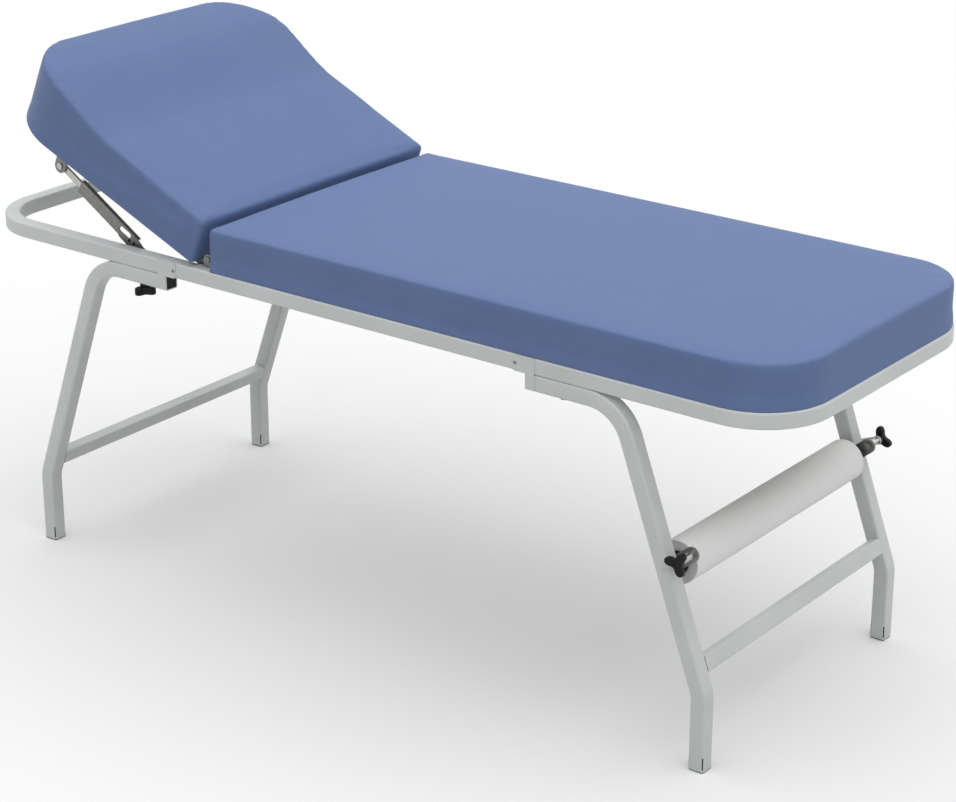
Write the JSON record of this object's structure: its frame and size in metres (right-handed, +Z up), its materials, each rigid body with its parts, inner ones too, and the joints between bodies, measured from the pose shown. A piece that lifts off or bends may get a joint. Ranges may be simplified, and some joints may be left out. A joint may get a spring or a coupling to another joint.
{
  "type": "treatment table",
  "caption": "Treatment table with a padded flat foot section, a padded head section that tilts on ratchet stays, bolted bent-tube legs and a paper roll under the foot end.",
  "frame": {"origin": "on the floor, midway between the top frame's ends and sides", "axes": "+X along the table towards the foot end, +Y across it towards the far side of the picture, +Z up"},
  "size_m": [1.86, 0.6936, 1.0154],
  "materials": {
    "paint": "smooth light-grey powder coat, satin",
    "zinc": "zinc-plated sheet steel, dull",
    "steel": "bright plated steel",
    "black_plastic": "black moulded plastic, matt",
    "board": "plywood sealed with a thin grey coat, hidden in use",
    "upholstery": "slate-blue coated upholstery cloth over foam, satin",
    "paper": "white couch-roll paper, wound",
    "card": "plain cardboard tube"
  },
  "bodies": {
    "table_frame": {"rail_near": "paint", "rail_far": "paint", "head_bow": "paint", "foot_bow": "paint", "hinge_cross_tube": "paint", "cross_tubes": "paint", "head_leg_near": "paint", "head_leg_far": "paint", "head_crossbar": "paint", "foot_leg_near": "paint", "foot_leg_far": "paint", "foot_crossbar": "paint", "foot_plugs": "black_plastic", "run_caps": "black_plastic", "leg_tabs": "paint", "tab_screws": "zinc", "foot_leg_bolts": "zinc", "rail_nuts": "zinc", "foot_board": "board", "foot_cushion": "upholstery", "foot_board_screws": "zinc", "hinge_ears": "zinc", "hinge_pins": "zinc", "stay_brackets": "zinc", "stay_low_bolts": "steel", "roll_arms": "zinc", "roll_jaws": "paint", "roll_spacers": "steel", "roll_clamp_bolts": "zinc", "roll_rod": "steel", "rod_collars": "zinc"},
    "head_section": {"head_board": "board", "head_cushion": "upholstery", "head_board_screws": "zinc", "hinge_straps": "zinc", "stay_lugs": "zinc", "stay_high_bolts": "steel"},
    "stay_channels": {"stay_channel_near": "zinc", "stay_channel_far": "zinc", "stay_catches": "steel", "stay_catch_rivets": "black_plastic"},
    "stay_bars": {"stay_bar_near": "steel", "stay_bar_far": "steel"},
    "near_leg_clamp": {"leg_knob_near": "black_plastic", "leg_knob_stud_near": "steel"},
    "far_leg_clamp": {"leg_knob_far": "black_plastic", "leg_knob_stud_far": "steel"},
    "near_roll_clamp": {"roll_knob_near": "black_plastic"},
    "far_roll_clamp": {"roll_knob_far": "black_plastic"},
    "roll": {"paper_roll": "paper", "roll_core": "card", "roll_bushes": "black_plastic"}
  },
  "joints": [
    {"name": "head_tilt", "type": "hinge", "parent": "table_frame", "child": "head_section", "pos_m": [-0.327, 0, 0.685], "axis": [0, 1, 0], "range_deg": [-23, 4]},
    {"name": "stay_channel_swing", "type": "hinge", "parent": "table_frame", "child": "stay_channels", "pos_m": [-0.512, 0, 0.66], "axis": [0, 1, 0], "range_deg": [-40, 7]},
    {"name": "stay_bar_swing", "type": "hinge", "parent": "head_section", "child": "stay_bars", "pos_m": [-0.72103, 0, 0.79196], "axis": [0, 1, 0], "range_deg": [-17, 3]},
    {"name": "near_leg_clamp_turn", "type": "hinge", "parent": "table_frame", "child": "near_leg_clamp", "pos_m": [-0.489, -0.3125, 0.6], "axis": [0, 0, 1], "continuous": true},
    {"name": "far_leg_clamp_turn", "type": "hinge", "parent": "table_frame", "child": "far_leg_clamp", "pos_m": [-0.489, 0.3125, 0.6], "axis": [0, 0, 1], "continuous": true},
    {"name": "near_roll_clamp_turn", "type": "hinge", "parent": "table_frame", "child": "near_roll_clamp", "pos_m": [0.741, -0.34, 0.383], "axis": [0, 1, 0], "continuous": true},
    {"name": "far_roll_clamp_turn", "type": "hinge", "parent": "table_frame", "child": "far_roll_clamp", "pos_m": [0.741, 0.34, 0.383], "axis": [0, 1, 0], "continuous": true},
    {"name": "roll_spin", "type": "hinge", "parent": "table_frame", "child": "roll", "pos_m": [0.703, 0, 0.352], "axis": [0, 1, 0], "continuous": true}
  ],
  "couplings": [
    {"joint": "stay_channel_swing", "follows": "head_tilt", "ratio": 1.715},
    {"joint": "stay_bar_swing", "follows": "head_tilt", "ratio": 0.715}
  ]
}
